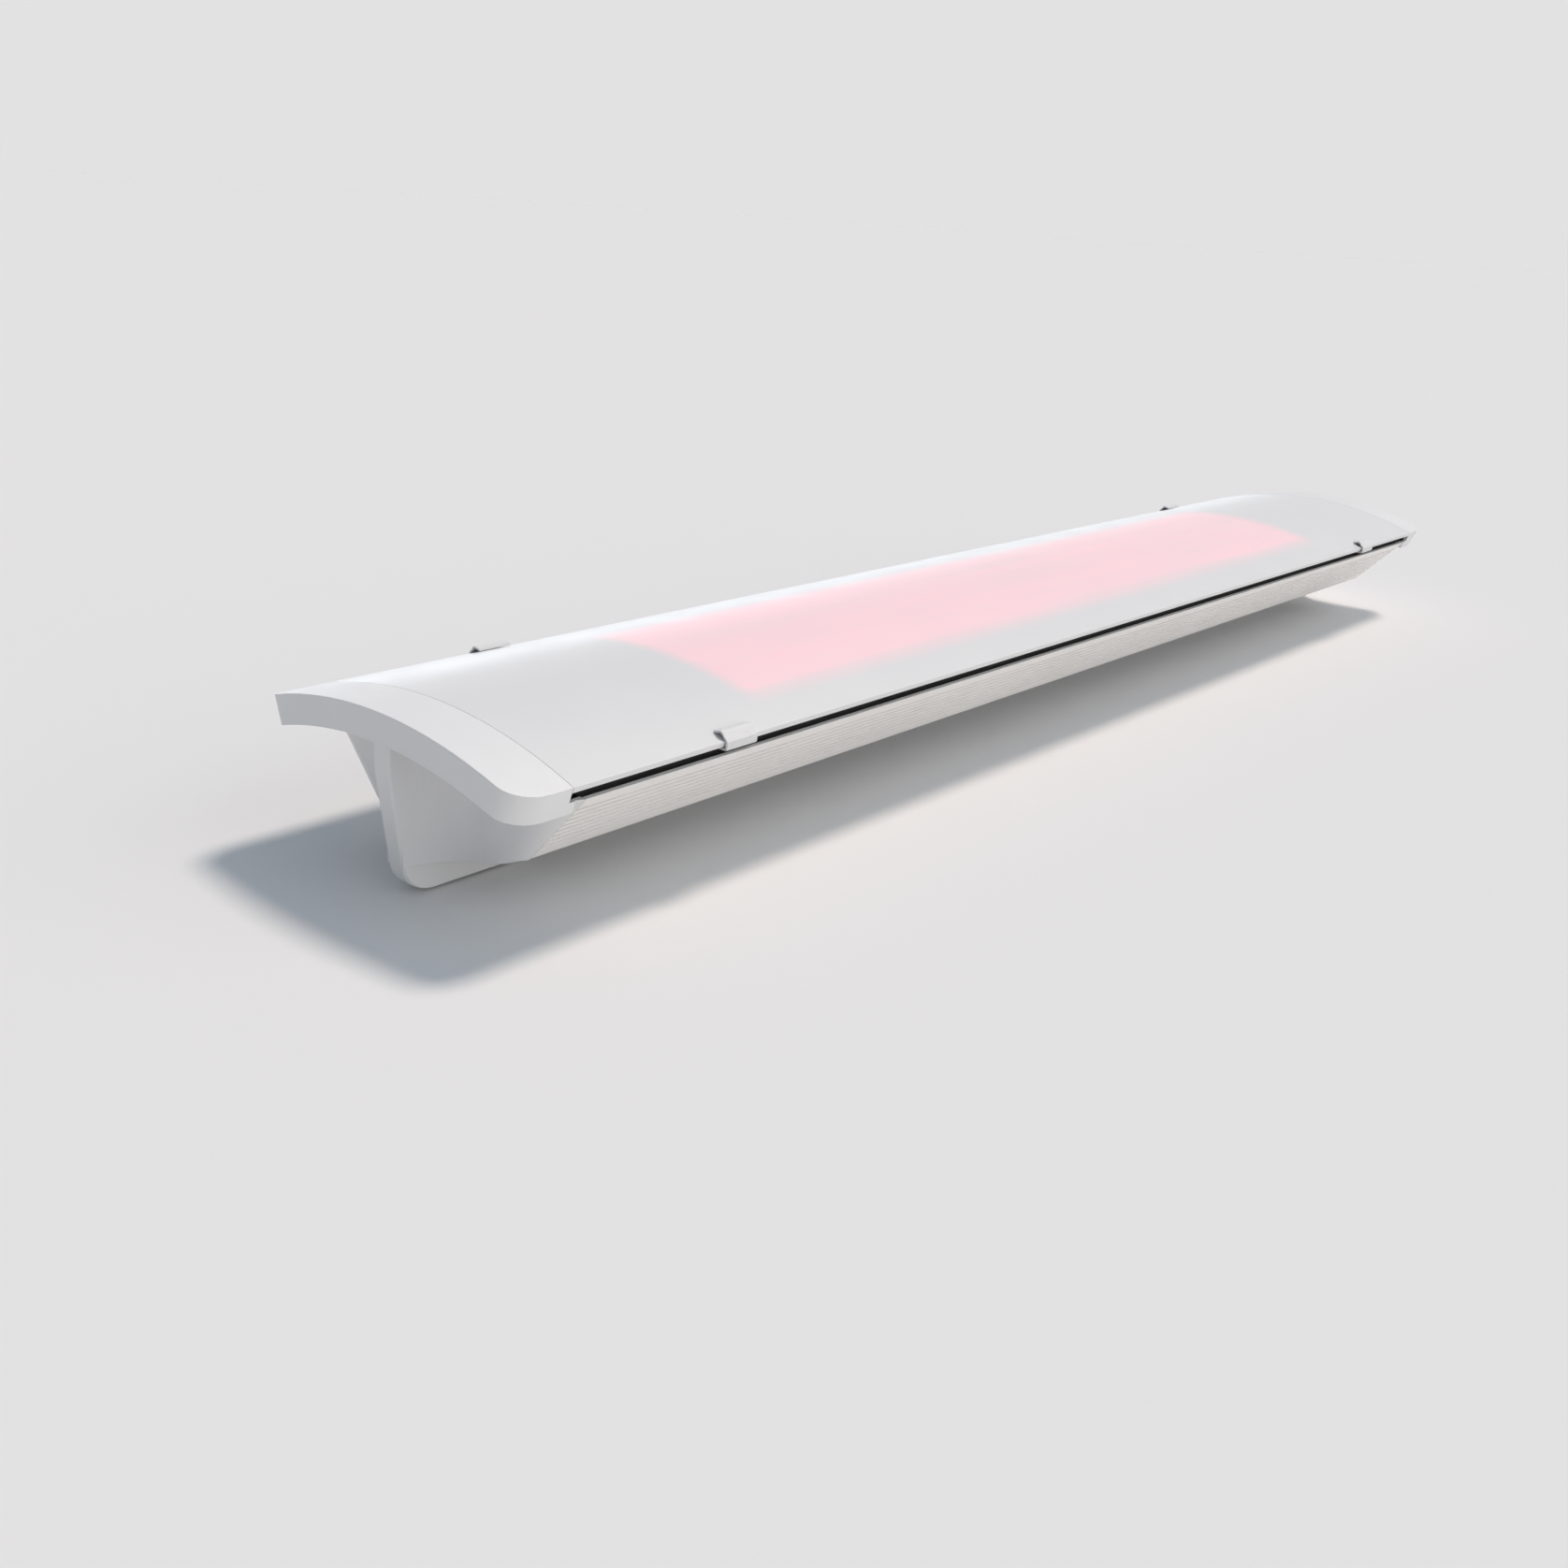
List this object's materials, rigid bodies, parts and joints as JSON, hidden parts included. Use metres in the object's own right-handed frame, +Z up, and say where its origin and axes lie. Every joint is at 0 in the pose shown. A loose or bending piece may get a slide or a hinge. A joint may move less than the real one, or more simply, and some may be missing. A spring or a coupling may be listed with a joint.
{
  "type": "infrared radiant heater",
  "caption": "Long slim electric infrared radiant heater with a curved white glass-ceramic front, moulded end caps, ribbed housing and a T-slot keel for sliding mounting nuts.",
  "frame": {"origin": "on the surface the heater lies on, under the middle of its length and width", "axes": "+X along the length, +Z up, out of the radiating face; the heater is symmetric about the plane Y = 0 apart from its service cover"},
  "size_m": [1.1, 0.197, 0.0944],
  "materials": {
    "white_glass": "satin white glass-ceramic, opaque, faintly red where it glows",
    "white_cap": "satin white heat-resistant moulding",
    "ribbed_coating": "warm white powder coat on ribbed extruded aluminium",
    "rail_alloy": "natural anodised",
    "nut_steel": "zinc plated",
    "clip_enamel": "white enamel on spring steel",
    "black_steel": "matt black",
    "fibre_tape": "woven glass-fibre tape",
    "mirror_alloy": "bright rolled reflector sheet",
    "fibre_board": "pressed mineral fibre",
    "zinc_steel": "zinc plated sheet",
    "quartz": "clear, slightly milky tube",
    "ribbon_alloy": "oxidised heating alloy",
    "steatite": "unglazed",
    "lead_brown": "silicone lead, brown",
    "lead_blue": "silicone lead, blue",
    "lead_green": "silicone lead, green with a yellow stripe",
    "seal_rubber": "moulded silicone",
    "black_plastic": "fine satin polyamide",
    "screw_steel": "zinc plated"
  },
  "bodies": {
    "heater": {"board_support_1": "zinc_steel", "board_support_2": "zinc_steel", "board_support_3": "zinc_steel", "board_support_4": "zinc_steel", "cap_screw_1": "screw_steel", "cap_screw_2": "screw_steel", "cap_screw_3": "screw_steel", "cap_screw_4": "screw_steel", "cover_screw_1": "screw_steel", "cover_screw_2": "screw_steel", "cover_seal": "seal_rubber", "earth_stud": "zinc_steel", "end_cap_left": "white_cap", "end_cap_right": "white_cap", "end_plate_left": "zinc_steel", "end_plate_right": "zinc_steel", "gland_body": "black_plastic", "gland_nut": "black_plastic", "glass_clip_front_left": "clip_enamel", "glass_clip_front_right": "clip_enamel", "glass_clip_rear_left": "clip_enamel", "glass_clip_rear_right": "clip_enamel", "glass_panel": "white_glass", "glass_tape_front": "fibre_tape", "glass_tape_rear": "fibre_tape", "heating_ribbon_1": "ribbon_alloy", "heating_ribbon_2": "ribbon_alloy", "heating_ribbon_3": "ribbon_alloy", "heating_ribbon_4": "ribbon_alloy", "heating_tube_1": "quartz", "heating_tube_2": "quartz", "heating_tube_3": "quartz", "heating_tube_4": "quartz", "housing_trough": "ribbed_coating", "insulation_board": "fibre_board", "rail_screw_1": "screw_steel", "rail_screw_2": "screw_steel", "rail_screw_3": "screw_steel", "rail_screw_4": "screw_steel", "rail_screw_5": "screw_steel", "rail_screw_6": "screw_steel", "rear_rail": "rail_alloy", "reflector_tray": "mirror_alloy", "side_rail_front": "black_steel", "side_rail_rear": "black_steel", "terminal_block": "steatite", "terminal_cover": "ribbed_coating", "thermal_cutout": "zinc_steel", "tube_holder_left": "steatite", "tube_holder_right": "steatite", "wire_earth": "lead_green", "wire_live": "lead_brown", "wire_neutral": "lead_blue"},
    "nut_left": {"slide_nut_left": "nut_steel"},
    "nut_right": {"slide_nut_right": "nut_steel"}
  },
  "joints": [
    {"name": "nut_left_slide", "type": "slide", "parent": "heater", "child": "nut_left", "axis": [1, 0, 0], "range_m": [-0.145, 0.25]},
    {"name": "nut_right_slide", "type": "slide", "parent": "heater", "child": "nut_right", "axis": [1, 0, 0], "range_m": [-0.25, 0.145]}
  ]
}
